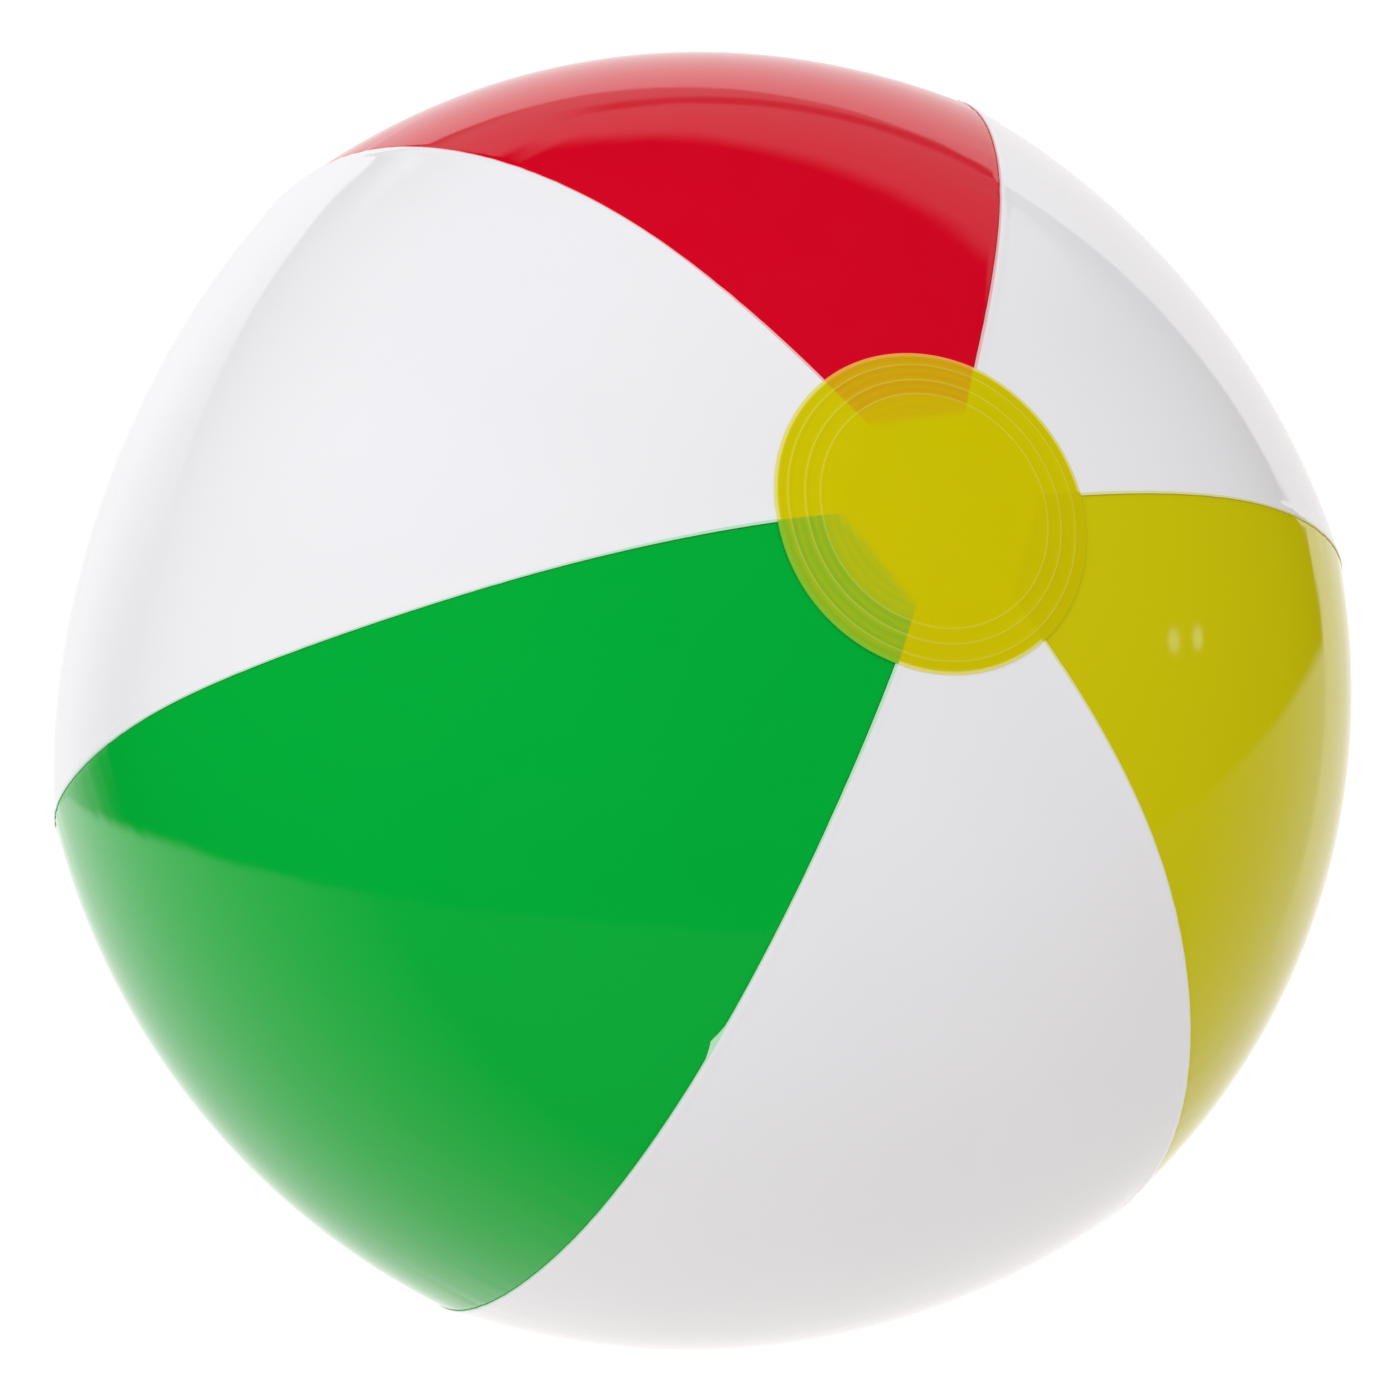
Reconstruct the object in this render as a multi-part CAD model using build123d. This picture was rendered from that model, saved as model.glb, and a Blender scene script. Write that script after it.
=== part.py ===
from build123d import *
from math import asin, atan2, cos, pi, radians, sin, sqrt, tan
import os

# An inflatable beach ball: six welded film panels, two end discs and a push-in air valve.
# The origin is the middle of the ball and +Z runs along its poles, out through the front disc.
# All sizes are millimetres.

# The inflated skin. From pole to equator its meridian is three arcs that meet in line.
equator_radius = 200.0
pole_height = 181.0
shoulder_arc_radius = 164.0
polar_arc_end = radians(23.0)       # where the arcs meet, as the angle of the skin's normal from +Z
equator_arc_start = radians(80.0)
film = 0.3                          # thickness of the vinyl film
panel_count = 6
lap_width = 3.0                     # overlap of two panels at a welded seam
panel_end_radius = 28.0             # the panels stop this far from the pole
disc_radius = 48.0                  # the end disc covers the panel ends

# The air valve sits on one white panel, near the rear disc.
valve_tilt = radians(19.0)          # angle between the valve and the rear pole
flange_width = 5.4                  # of the ring welded round the valve's hole
flange_thickness = 0.7
flange_show = 0.9                   # how much of the ring shows inside the panel's hole
sleeve_width = 3.4                  # from the stem's collar out to the ring
sleeve_edge = 1.1                   # height of the sleeve's edge where it meets the collar
sleeve_gap = 0.05

# The stem is shown pushed in. Its heights are measured out from the skin.
stem_bore_radius = 3.5
stem_lip = 1.15                     # wall of the stem at its mouth
stem_tip_height = 1.0
stem_base_height = -8.0
collar_width = 0.75
collar_thickness = 1.2

# The strap that ties the plug to the stem, folded back on itself.
strap_width = 5.0
strap_thickness = 0.6
strap_reach = 15.5                  # from the valve's axis to the fold
fold_bore_radius = 0.1              # inside of the fold
fold_gap = 0.03                     # between the fold and the end of each strap
fold_hinge_offset = 0.3             # from the strap's end to the line that the fold bends about

# The plug's tapered stopper fits the seat at the mouth of the stem.
stopper_depth = 3.5
swing_margin = radians(1.5)         # taper beyond what the plug needs to swing out
seat_gap = 0.06                     # between the stopper and its seat, and under its small end
plug_head_overhang = 0.2
plug_head_thickness = 1.15
plug_head_bevel = 0.4
plug_head_gap = 0.05                # between the head and the tip of the stem
pull_tab_length = 3.9
pull_tab_thickness = 0.8

# The soft flap that closes the stem's inner end.
flap_lap = 1.1                      # how far the flap covers the stem's inner end round the bore
flap_thickness = 0.4
flap_gap = 0.05                     # between the flap and the stem's inner end
flap_root_length = 0.6
flap_root_width = 6.0


# The skin.

def end_arc_radii():
    """Radii of the polar and equator arcs that bring the meridian to its width and height."""
    a, b = polar_arc_end, equator_arc_start
    width = equator_radius - shoulder_arc_radius * (sin(b) - sin(a))
    height = pole_height - shoulder_arc_radius * (cos(a) - cos(b))
    scale = sin(a) * cos(b) - (1 - sin(b)) * (1 - cos(a))
    polar = (width * cos(b) - height * (1 - sin(b))) / scale
    equator = (height * sin(a) - width * (1 - cos(a))) / scale
    return polar, equator


polar_arc_radius, equator_arc_radius = end_arc_radii()
polar_centre = (0.0, pole_height - polar_arc_radius)
equator_centre = (equator_radius - equator_arc_radius, 0.0)
shoulder_centre = (
    (polar_arc_radius - shoulder_arc_radius) * sin(polar_arc_end),
    polar_centre[1] + (polar_arc_radius - shoulder_arc_radius) * cos(polar_arc_end),
)
arc_ends = (polar_arc_end, equator_arc_start, pi - equator_arc_start, pi - polar_arc_end)


def skin_point(angle, offset):
    """Radius and height on the meridian where the skin's normal is at this angle from +Z."""
    from_pole = min(angle, pi - angle)
    if from_pole < polar_arc_end:
        centre, radius = polar_centre, polar_arc_radius
    elif from_pole < equator_arc_start:
        centre, radius = shoulder_centre, shoulder_arc_radius
    else:
        centre, radius = equator_centre, equator_arc_radius
    across = centre[0] + (radius + offset) * sin(from_pole)
    up = centre[1] + (radius + offset) * cos(from_pole)
    return (across, up if angle <= pi / 2 else -up)


def skin_arcs(start, end, offset):
    """The meridian's arcs between two angles, moved outwards by the offset."""
    stops = [start] + [a for a in arc_ends if start < a < end] + [end]
    return [
        ThreePointArc(
            skin_point(a, offset), skin_point((a + b) / 2, offset), skin_point(b, offset)
        )
        for a, b in zip(stops, stops[1:])
    ]


def skin_section(start, end, inner, outer):
    """A strip of the meridian between two angles and two offsets, as a face in the XZ plane."""
    edges = skin_arcs(start, end, inner) + skin_arcs(start, end, outer)
    edges.append(Line(skin_point(start, inner), skin_point(start, outer)))
    edges.append(Line(skin_point(end, inner), skin_point(end, outer)))
    return make_face(Plane.XZ * Curve(edges))


# The panels and end discs. White film lies outside coloured film where they lap.

panel_angle = 360.0 / panel_count
panel_end_angle = asin(panel_end_radius / polar_arc_radius)
disc_edge_angle = asin(disc_radius / polar_arc_radius)


def panel_wedge():
    """A wedge about +X, half a lap wider than the panel's share of the circle on each side."""
    half = radians(panel_angle / 2)
    apex = -lap_width / 2 / sin(half)
    side = 3 * equator_radius
    corners = [
        (apex, 0),
        (apex + side * cos(half), -side * sin(half)),
        (apex + side * cos(half), side * sin(half)),
    ]
    return extrude(make_face(Polyline(corners, close=True)), amount=2 * pole_height, both=True)


def panel(inner, outer):
    """One panel about +X, in the film layer between two offsets from the skin."""
    section = skin_section(panel_end_angle, pi - panel_end_angle, inner, outer)
    spare = 15.0
    swept = revolve(section, Axis.Z, revolution_arc=panel_angle + 2 * spare)
    return (Rot(0, 0, -panel_angle / 2 - spare) * swept) & panel_wedge()


def white_panel():
    return panel(0, film)


def coloured_panel():
    return panel(-film, 0)


def end_disc():
    """The disc welded over the ends of the panels at the front pole."""
    return revolve(skin_section(0, disc_edge_angle, film, 2 * film), Axis.Z)


# Where the air valve stands: its axis leans out from the rear pole, through a white panel's middle.

valve_azimuth = radians(panel_angle / 2)
valve_axis = Vector(
    sin(valve_tilt) * cos(valve_azimuth), sin(valve_tilt) * sin(valve_azimuth), -cos(valve_tilt)
)
valve_along = Vector(
    cos(valve_tilt) * cos(valve_azimuth), cos(valve_tilt) * sin(valve_azimuth), sin(valve_tilt)
)
valve_origin = Vector(0, 0, -polar_centre[1]) + valve_axis * (polar_arc_radius + film)
valve_place = Plane(origin=valve_origin, x_dir=valve_along, z_dir=valve_axis)

# The valve's radii build up from the bore outwards. The stopper's taper is steep enough
# for its far edge to clear the seat as the plug swings out about the strap's fold.

strap_level = stem_tip_height       # height of the fold's middle, between the strap's two runs
hinge_reach = strap_reach + fold_hinge_offset
stopper_radius = stem_bore_radius
stopper_taper = atan2(stopper_depth, hinge_reach + stopper_radius) + swing_margin
seat_bottom = stem_tip_height + plug_head_gap - stopper_depth - seat_gap
seat_bottom_radius = stopper_radius + seat_gap * (1 - tan(stopper_taper))
seat_mouth_radius = seat_bottom_radius + (stem_tip_height - seat_bottom) * tan(stopper_taper)
stem_radius = seat_mouth_radius + stem_lip
collar_radius = stem_radius + collar_width
flange_bore_radius = collar_radius + sleeve_width
flange_radius = flange_bore_radius + flange_width
panel_hole_radius = flange_bore_radius + flange_show
plug_head_radius = stem_radius + plug_head_overhang
flap_radius = stem_bore_radius + flap_lap


# The valve's pieces, drawn about its own axis with their heights measured out from the skin.

def cap_height(radius, offset):
    """Height of the skin, moved out by an offset, at a radius from the valve's axis."""
    return sqrt((polar_arc_radius + offset) ** 2 - radius**2) - polar_arc_radius - film


def turned(corners):
    """A ring turned from a closed outline of radius and height."""
    return revolve(make_face(Plane.XZ * Polyline(corners, close=True)), Axis.Z)


def slab(x_low, x_high, width, z_low, z_high):
    return Pos((x_low + x_high) / 2, 0, (z_low + z_high) / 2) * Box(
        x_high - x_low, width, z_high - z_low
    )


def valve_flange():
    """The ring welded to the inside of the panel, curved as the skin is."""
    stops = (flange_bore_radius, (flange_bore_radius + flange_radius) / 2, flange_radius)
    edges = [
        ThreePointArc(*[(r, cap_height(r, offset)) for r in stops])
        for offset in (0, -flange_thickness)
    ]
    for r in (flange_bore_radius, flange_radius):
        edges.append(Line((r, cap_height(r, 0)), (r, cap_height(r, -flange_thickness))))
    return revolve(make_face(Plane.XZ * Curve(edges)), Axis.Z)


def valve_sleeve():
    """The soft cone between the flange and the stem, which turns inside out as the stem moves."""
    small_radius = collar_radius + sleeve_gap
    return turned([
        (flange_bore_radius, cap_height(flange_bore_radius, 0)),
        (flange_bore_radius, cap_height(flange_bore_radius, -flange_thickness)),
        (small_radius, stem_base_height),
        (small_radius, stem_base_height + sleeve_edge),
    ])


def valve_stem():
    """The tube, with its collar, its tapered seat and the strap's lower run."""
    collar_top = stem_base_height + collar_thickness
    tube = turned([
        (stem_bore_radius, stem_base_height),
        (collar_radius, stem_base_height),
        (collar_radius, collar_top),
        (stem_radius, collar_top),
        (stem_radius, stem_tip_height),
        (seat_mouth_radius, stem_tip_height),
        (seat_bottom_radius, seat_bottom),
        (stem_bore_radius, seat_bottom),
    ])
    top = strap_level - fold_bore_radius
    run = slab(stem_radius - stem_lip / 2, strap_reach, strap_width, top - strap_thickness, top)
    return tube + run


def valve_plug():
    """The stopper, its head and pull tab, and the strap's upper run."""
    head_bottom = stem_tip_height + plug_head_gap
    head_top = head_bottom + plug_head_thickness
    stopper_bottom = head_bottom - stopper_depth
    body = turned([
        (0, stopper_bottom),
        (stopper_radius, stopper_bottom),
        (stopper_radius + stopper_depth * tan(stopper_taper), head_bottom),
        (plug_head_radius, head_bottom),
        (plug_head_radius, head_top - plug_head_bevel),
        (plug_head_radius - plug_head_bevel, head_top),
        (0, head_top),
    ])
    bottom = strap_level + fold_bore_radius
    run = slab(plug_head_radius / 2, strap_reach, strap_width, bottom, bottom + strap_thickness)
    tab_round = strap_width / 2
    tab_middle = -(plug_head_radius + pull_tab_length - tab_round)
    tab_top = bottom + pull_tab_thickness
    tab = slab(tab_middle, -plug_head_radius / 2, strap_width, bottom, tab_top)
    tab_end = Pos(tab_middle, 0, (bottom + tab_top) / 2) * Cylinder(tab_round, pull_tab_thickness)
    return body + run + tab + tab_end


def strap_fold():
    """The strap's bend, a half ring from its lower run to its upper run."""
    outer = fold_bore_radius + strap_thickness
    ring = Cylinder(outer, strap_width) - Cylinder(fold_bore_radius, strap_width)
    half = ring & Pos(outer, 0, 0) * Box(2 * outer, 2 * outer, strap_width)
    return Pos(strap_reach + fold_gap, 0, strap_level) * Rot(90, 0, 0) * half


def check_flap():
    """The flap inside the ball, closing the stem's inner end."""
    high = stem_base_height - flap_gap
    low = high - flap_thickness
    disc = Pos(0, 0, (low + high) / 2) * Cylinder(flap_radius, flap_thickness)
    return disc + slab(0, flap_radius + flap_root_length, flap_root_width, low, high)


# Each piece is written to its own file.

def write(shape, name):
    export_step(shape, "parts/" + name + ".step")


os.makedirs("parts", exist_ok=True)

panel_names = (
    "panel_white_1", "panel_red", "panel_white_2", "panel_green", "panel_white_3", "panel_yellow",
)
for number, name in enumerate(panel_names):
    piece = white_panel() if "white" in name else coloured_panel()
    piece = Rot(0, 0, (number + 0.5) * panel_angle) * piece
    if name == "panel_white_1":
        piece = piece - valve_place * Cylinder(panel_hole_radius, flange_radius)
    write(piece, name)

write(end_disc(), "end_disc_front")
write(Rot(180, 0, 0) * end_disc(), "end_disc_rear")

valve_pieces = {
    "valve_flange": valve_flange(),
    "valve_sleeve": valve_sleeve(),
    "valve_stem": valve_stem(),
    "valve_plug": valve_plug(),
    "strap_fold": strap_fold(),
    "check_flap": check_flap(),
}
for name, piece in valve_pieces.items():
    write(valve_place * piece, name)

# What the record repeats: the valve's place, its hinges and the wall of its bore.
print("valve origin", [round(v, 4) for v in valve_origin])
print("valve axis", [round(v, 7) for v in valve_axis])
print("valve along", [round(v, 7) for v in valve_along])
print("strap hinge at", hinge_reach, strap_level)
print("flap hinge at", round(flap_radius + flap_root_length, 4), stem_base_height - flap_gap - flap_thickness / 2)
print("bore wall from", stem_base_height, "to", round(seat_bottom, 4))
print("polar arc", round(polar_arc_radius, 3), "equator arc", round(equator_arc_radius, 3))
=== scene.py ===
import bpy
import math
from mathutils import Matrix, Quaternion, Vector


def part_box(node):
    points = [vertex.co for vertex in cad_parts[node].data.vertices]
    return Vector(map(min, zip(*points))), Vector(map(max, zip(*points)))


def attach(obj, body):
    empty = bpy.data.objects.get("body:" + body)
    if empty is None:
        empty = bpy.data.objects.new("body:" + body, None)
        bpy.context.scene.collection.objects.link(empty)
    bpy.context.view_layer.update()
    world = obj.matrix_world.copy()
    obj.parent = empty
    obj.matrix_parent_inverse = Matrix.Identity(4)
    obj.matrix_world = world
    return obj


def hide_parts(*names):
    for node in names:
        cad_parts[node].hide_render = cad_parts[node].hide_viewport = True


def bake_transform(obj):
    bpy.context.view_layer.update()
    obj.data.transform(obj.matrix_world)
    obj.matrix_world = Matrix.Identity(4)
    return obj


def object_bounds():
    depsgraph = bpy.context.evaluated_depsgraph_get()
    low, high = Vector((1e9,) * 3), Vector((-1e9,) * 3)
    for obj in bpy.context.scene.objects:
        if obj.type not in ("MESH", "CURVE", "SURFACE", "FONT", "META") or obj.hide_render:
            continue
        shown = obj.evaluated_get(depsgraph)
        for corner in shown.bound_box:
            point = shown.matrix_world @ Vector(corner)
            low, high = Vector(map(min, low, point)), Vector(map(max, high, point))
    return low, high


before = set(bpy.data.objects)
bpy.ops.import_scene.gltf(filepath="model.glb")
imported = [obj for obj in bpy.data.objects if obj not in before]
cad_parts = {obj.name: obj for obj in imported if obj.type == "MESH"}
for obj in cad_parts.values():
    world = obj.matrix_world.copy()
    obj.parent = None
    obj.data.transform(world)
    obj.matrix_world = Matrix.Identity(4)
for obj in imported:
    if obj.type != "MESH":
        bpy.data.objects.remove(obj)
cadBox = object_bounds()

# An inflatable beach ball: six welded gores, two end discs and a push-in air valve. +Z runs out
# through the front disc, and the valve is near the rear one. Lengths are in metres, but for the
# valve's own pieces, which are in mm.

film = 0.0003

skin = {
    "equator": (cadBox[1].x - cadBox[0].x) / 2 - film,
    "pole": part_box("end_disc_front")[1].z - 2 * film,
    "shoulderArc": 0.164,
    "polarEnd": 23.0,            # degrees from +Z, where the arcs of the meridian meet
    "equatorStart": 80.0,
    "middleShare": 0.995,        # each gore's middle stands in this much from the seams
    "lobeOffset": 0.0324,        # the gores are flatter than the ball is round
    "flatness": 1.15,            # how much more than a sphere's the skin faces Z
    "goreEnd": 0.028,            # the gores stop this far from the pole
    "rowStep": 0.0029,
    "columns": 66,
    "seamClear": 0.0001,         # degrees, which keep a seam's points within their own gore
}

goreNames = ("panel_white_1", "panel_red", "panel_white_2", "panel_green", "panel_white_3", "panel_yellow")
goreCount = len(goreNames)
goreAngle = 360 / goreCount
halfGore = math.radians(goreAngle / 2)

# How an inflated ball strays from the drawing: each seam's drift and each gore's fullness.
uneven = {
    "driftFrom": 0.046,          # it is the same all the way in from this radius
    "driftRadii": (0.050, 0.085, 0.138, 0.200),
    "seamDrift": (               # degrees at those radii, for each seam from the one at +X on
        (0.5, 0.7, -0.2, -1.3),
        (1.7, 0.7, 0.55, 0.6),
        (0.9, 0.65, 0.85, 1.3),
        (-1.25, -0.55, 0.38, -0.45),
        (0.85, -0.1, -0.65, -0.7),
        (1.0, 0.65, -1.1, -2.5),
    ),
    "fullness": (-0.0044, 0.0073, -0.0226, 0.0059, 0.0011, 0.0055),
    "fadeHigh": -0.06,           # both fade out below here, so the valve's gore is true
    "fadeLow": -0.165,
}


def deselectAll():
    if bpy.context.object is not None and bpy.context.object.mode != "OBJECT":
        bpy.ops.object.mode_set(mode="OBJECT")
    bpy.ops.object.select_all(action="DESELECT")


def makeActive(piece):
    deselectAll()
    piece.select_set(True)
    bpy.context.view_layer.objects.active = piece


def editAll(piece):
    makeActive(piece)
    bpy.ops.object.mode_set(mode="EDIT")
    bpy.ops.mesh.select_mode(type="VERT")
    bpy.ops.mesh.select_all(action="SELECT")


def leaveEdit():
    bpy.ops.object.mode_set(mode="OBJECT")


def applyModifier(piece, name):
    makeActive(piece)
    bpy.ops.object.modifier_apply(modifier=name)


def applyPlace(piece):
    makeActive(piece)
    bpy.ops.object.transform_apply(location=True, rotation=True, scale=True)


def smooth(piece, angle=40):
    makeActive(piece)
    bpy.ops.object.shade_smooth_by_angle(angle=math.radians(angle))


def recalculateNormals(piece):
    editAll(piece)
    bpy.ops.mesh.normals_make_consistent(inside=False)
    leaveEdit()


def mergeAll(distance):
    bpy.ops.mesh.select_all(action="SELECT")
    bpy.ops.mesh.remove_doubles(threshold=distance)


# A spin turns clockwise about its axis, so these run anticlockwise about +Z.
def spinAll(steps, angle):
    bpy.ops.mesh.select_all(action="SELECT")
    bpy.ops.mesh.spin(steps=steps, angle=angle, center=(0, 0, 0), axis=(0, 0, -1))


# A mesh of one point, left in edit mode.
def startPoint(name, place):
    deselectAll()
    bpy.ops.mesh.primitive_plane_add(size=0.001, location=place)
    piece = bpy.context.object
    piece.name = name
    applyPlace(piece)
    editAll(piece)
    bpy.ops.mesh.merge(type="CENTER")
    return piece


# From 0 at the low value to 1 at the high one, level at both.
def ease(value, low, high):
    t = min(1, max(0, (value - low) / (high - low)))
    return t * t * (3 - 2 * t)


# The meridian is three kinds of arc, tangent to each other: polar, shoulder and equator.
def meridianArcs():
    a = math.radians(skin["polarEnd"])
    b = math.radians(skin["equatorStart"])
    shoulder = skin["shoulderArc"]
    width = skin["equator"] - shoulder * (math.sin(b) - math.sin(a))
    height = skin["pole"] - shoulder * (math.cos(a) - math.cos(b))
    scale = math.sin(a) * math.cos(b) - (1 - math.sin(b)) * (1 - math.cos(a))
    polar = (width * math.cos(b) - height * (1 - math.sin(b))) / scale
    equator = (height * math.sin(a) - width * (1 - math.cos(a))) / scale
    polarHeight = skin["pole"] - polar
    shoulderX = (polar - shoulder) * math.sin(a)
    shoulderZ = polarHeight + (polar - shoulder) * math.cos(a)
    return [
        {"x": 0, "z": polarHeight, "radius": polar, "start": 0, "end": a},
        {"x": shoulderX, "z": shoulderZ, "radius": shoulder, "start": a, "end": b},
        {"x": skin["equator"] - equator, "z": 0, "radius": equator, "start": b, "end": math.pi - b},
        {"x": shoulderX, "z": -shoulderZ, "radius": shoulder, "start": math.pi - b, "end": math.pi - a},
        {"x": 0, "z": -polarHeight, "radius": polar, "start": math.pi - a, "end": math.pi},
    ]


arcs = meridianArcs()
polarRadius = arcs[0]["radius"]
polarHeight = arcs[0]["z"]


# Draws it from one angle off +Z to another, and stays in edit mode.
def drawMeridian(name, start, end, step):
    place = (polarRadius * math.sin(start), 0, polarHeight + polarRadius * math.cos(start))
    piece = startPoint(name, place)
    for arc in arcs:
        low = max(start, arc["start"])
        high = min(end, arc["end"])
        if high > low:
            steps = math.ceil((high - low) * arc["radius"] / step)
            centre = (arc["x"], 0, arc["z"])
            bpy.ops.mesh.spin(steps=steps, angle=high - low, center=centre, axis=(0, -1, 0))
    return piece


# A cubic through the seam's four values, in degrees.
def seamDrift(number, radius, z):
    stops = uneven["driftRadii"]
    there = min(stops[-1], max(uneven["driftFrom"], radius)) if z > 0 else stops[-1]
    total = 0
    for i, value in enumerate(uneven["seamDrift"][number % goreCount]):
        for j, stop in enumerate(stops):
            if j != i:
                value *= (there - stop) / (stops[i] - stop)
        total += value
    return total


# Which gore an azimuth is in, and how far off its middle, in radians.
def goreAt(azimuth):
    number = int(azimuth % 360 / goreAngle)
    return number, math.radians(azimuth % 360 - (number + 0.5) * goreAngle)


def drift(azimuth, radius, z):
    number, offAxis = goreAt(azimuth)
    here = seamDrift(number, radius, z)
    after = seamDrift(number + 1, radius, z)
    return here + (after - here) * ease(offAxis, -halfGore, halfGore)


def lobeRadius(middle, offAxis):
    e = skin["lobeOffset"]
    c = math.cos(offAxis)
    return -e * c + math.sqrt(e * e * c * c - e * e + (middle + e) ** 2)


# Where a point of the drawn, round skin lies on the inflated one.
def settled(azimuth, radius, z):
    number, offAxis = goreAt(azimuth)
    fade = ease(z, uneven["fadeLow"], uneven["fadeHigh"])
    bulge = math.cos(offAxis * math.pi / 2 / halfGore) * radius / skin["equator"]
    full = uneven["fullness"][number] * bulge * fade
    out = lobeRadius(radius * skin["middleShare"], offAxis) * (1 + full)
    turned = math.radians(azimuth + drift(azimuth, radius, z) * fade)
    return Vector((out * math.cos(turned), out * math.sin(turned), z))


def newMaterial(name):
    material = bpy.data.materials.new(name)
    material.use_nodes = True
    tree = material.node_tree
    tree.nodes.clear()
    output = tree.nodes.new("ShaderNodeOutputMaterial")
    shader = tree.nodes.new("ShaderNodeBsdfPrincipled")
    tree.links.new(shader.outputs["BSDF"], output.inputs["Surface"])
    return material, tree, shader


def shaderOf(material):
    return next(node for node in material.node_tree.nodes if node.type == "BSDF_PRINCIPLED")


def paintOf(shader):
    return shader.inputs["Base Color"].links[0].from_socket


# Gives a socket a number, a colour or what another node puts out.
def feed(tree, socket, value):
    if isinstance(value, bpy.types.NodeSocket):
        tree.links.new(value, socket)
    elif isinstance(value, tuple):
        socket.default_value = (*value, 1)
    else:
        socket.default_value = value


def objectPlace(tree):
    return tree.nodes.new("ShaderNodeTexCoord").outputs["Object"]


def noise(tree, where, scale, detail):
    node = tree.nodes.new("ShaderNodeTexNoise")
    node.inputs["Scale"].default_value = scale
    node.inputs["Detail"].default_value = detail
    tree.links.new(where, node.inputs["Vector"])
    return node.outputs["Fac"]


def mapRange(tree, value, span, result, kind="LINEAR"):
    node = tree.nodes.new("ShaderNodeMapRange")
    node.interpolation_type = kind
    for name, number in zip(("From Min", "From Max", "To Min", "To Max"), (*span, *result)):
        node.inputs[name].default_value = number
    tree.links.new(value, node.inputs["Value"])
    return node.outputs["Result"]


# The Mix node has sockets of several kinds: numbers are at 2 and 3, colours at 6 and 7.
def mixNode(tree, kind, factor, first, second, socket, result):
    node = tree.nodes.new("ShaderNodeMix")
    node.data_type = kind
    feed(tree, node.inputs[0], factor)
    feed(tree, node.inputs[socket], first)
    feed(tree, node.inputs[socket + 1], second)
    return node.outputs[result]


def mixColour(tree, factor, first, second):
    return mixNode(tree, "RGBA", factor, first, second, 6, 2)


def mixNumber(tree, factor, first, second):
    return mixNode(tree, "FLOAT", factor, first, second, 2, 0)


def calc(tree, kind, first, second=0):
    node = tree.nodes.new("ShaderNodeMath")
    node.operation = kind
    feed(tree, node.inputs[0], first)
    feed(tree, node.inputs[1], second)
    return node.outputs["Value"]


def times(tree, product, *others):
    for other in others:
        product = calc(tree, "MULTIPLY", product, other)
    return product


def vectorMath(tree, kind, source, other=(0, 0, 0)):
    node = tree.nodes.new("ShaderNodeVectorMath")
    node.operation = kind
    tree.links.new(source, node.inputs[0])
    node.inputs[1].default_value = other
    return node.outputs["Value" if kind in ("LENGTH", "DOT_PRODUCT") else "Vector"]


def bump(tree, height, strength, depth, over=None):
    node = tree.nodes.new("ShaderNodeBump")
    node.inputs["Strength"].default_value = strength
    node.inputs["Distance"].default_value = depth
    tree.links.new(height, node.inputs["Height"])
    if over is not None:
        tree.links.new(over, node.inputs["Normal"])
    return node.outputs["Normal"]


def tinted(colour, share):
    return tuple(min(1, c * share) for c in colour)


filmLook = {
    "ior": 1.5,
    "gloss": 0.045,
    "darkLineGloss": 0.2,
    "cloudScale": 14,            # slow changes of tone
    "cloudTones": (0.975, 1.025),
    "smearScale": 60,            # of the gloss
    "smearSpan": (0.3, 0.75),
    "smearLow": 0.8,
    "smearHigh": 1.6,
    "swellScale": 22,            # slack waves in the film
    "swell": 0.35,
    "swellDepth": 0.0004,
    "grainScale": 1800,
    "grain": 0.05,
    "grainDepth": 0.00002,
}
filmColours = {
    "white": (0.92, 0.92, 0.925),
    "red": (0.72, 0.002, 0.018),
    "green": (0.001, 0.46, 0.042),
    "yellow": (0.68, 0.62, 0.004),
}
lapColours = {                   # the coloured film, seen through the white one over it
    "red": (0.95, 0.52, 0.52),
    "green": (0.52, 0.90, 0.58),
    "yellow": (0.86, 0.83, 0.36),
}
# The dark line along the white film's edge, on the coloured film.
darkLineColours = {
    "red": (0.30, 0.0, 0.01),
    "green": (0.002, 0.16, 0.02),
    "yellow": (0.54, 0.49, 0.03),
}


def filmMaterial(name, colour, gloss=filmLook["gloss"], swell=filmLook["swell"]):
    look = filmLook
    material, tree, shader = newMaterial(name)
    where = objectPlace(tree)
    cloud = noise(tree, where, look["cloudScale"], 3)
    dark, light = look["cloudTones"]
    shade = mixColour(tree, cloud, tinted(colour, dark), tinted(colour, light))
    tree.links.new(shade, shader.inputs["Base Color"])
    smear = noise(tree, where, look["smearScale"], 4)
    levels = (gloss * look["smearLow"], gloss * look["smearHigh"])
    tree.links.new(mapRange(tree, smear, look["smearSpan"], levels), shader.inputs["Roughness"])
    shader.inputs["IOR"].default_value = look["ior"]
    waves = bump(tree, noise(tree, where, look["swellScale"], 2), swell, look["swellDepth"])
    grain = noise(tree, where, look["grainScale"], 2)
    tree.links.new(bump(tree, grain, look["grain"], look["grainDepth"], waves), shader.inputs["Normal"])
    return material


films = {name: filmMaterial("film_" + name, colour) for name, colour in filmColours.items()}
lapTints = {name: filmMaterial("lap_" + name, colour) for name, colour in lapColours.items()}
darkLines = {
    name: filmMaterial("dark_line_" + name, colour, filmLook["darkLineGloss"]) for name, colour in darkLineColours.items()
}


def goreColour(number):
    return goreNames[number % goreCount].split("_")[1]


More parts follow.
